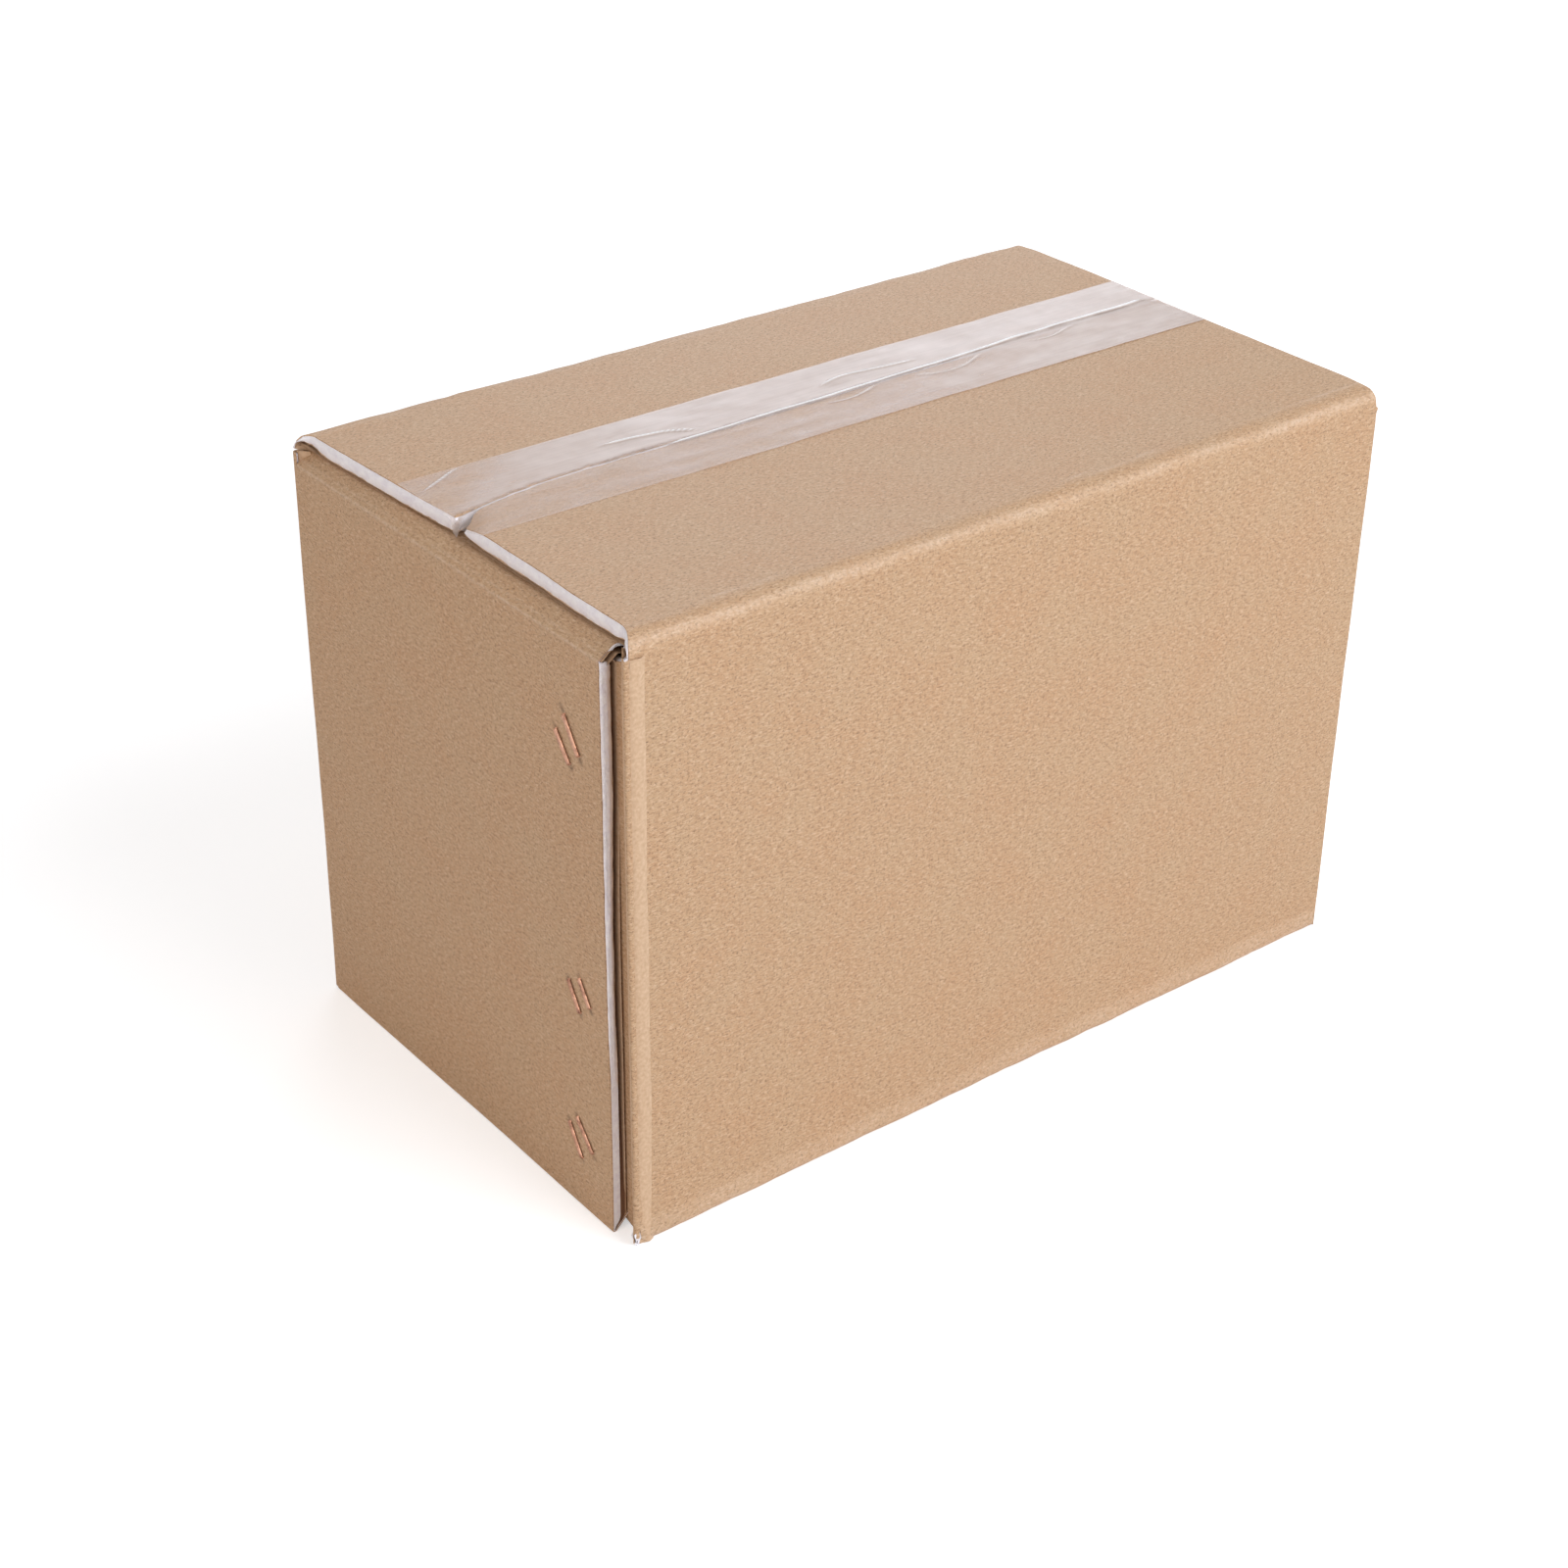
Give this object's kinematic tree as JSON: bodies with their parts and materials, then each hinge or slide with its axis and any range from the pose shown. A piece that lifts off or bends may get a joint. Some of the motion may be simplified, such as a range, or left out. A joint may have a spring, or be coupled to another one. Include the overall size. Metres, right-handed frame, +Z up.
{
  "type": "insulated shipping box",
  "caption": "Closed rectangular insulated shipping carton with foam-lined walls, a wire-stitched lap corner and clear tape along its seams.",
  "frame": {"origin": "middle of the base, on the surface the box stands on", "axes": "+X along the length, away from the end panel with the stitched lap corner; +Y along the width, from the front panel to the back; +Z up through the taped top flaps"},
  "size_m": [0.2956, 0.175, 0.203],
  "materials": {
    "kraft_paper": "matte brown kraft paper with fine fibres",
    "white_foam": "matte closed-cell foam",
    "corrugated_board": "matte fluted board",
    "clear_tape": "glossy clear film with wrinkles",
    "stitching_wire": "copper-coated flat steel wire"
  },
  "bodies": {
    "root": {"kraft_face_sheet": "kraft_paper", "foam_core_sheet": "white_foam", "corrugated_backing_sheet": "corrugated_board", "wire_stitches": "stitching_wire", "top_sealing_tape": "clear_tape", "bottom_sealing_tape": "clear_tape"}
  },
  "joints": []
}
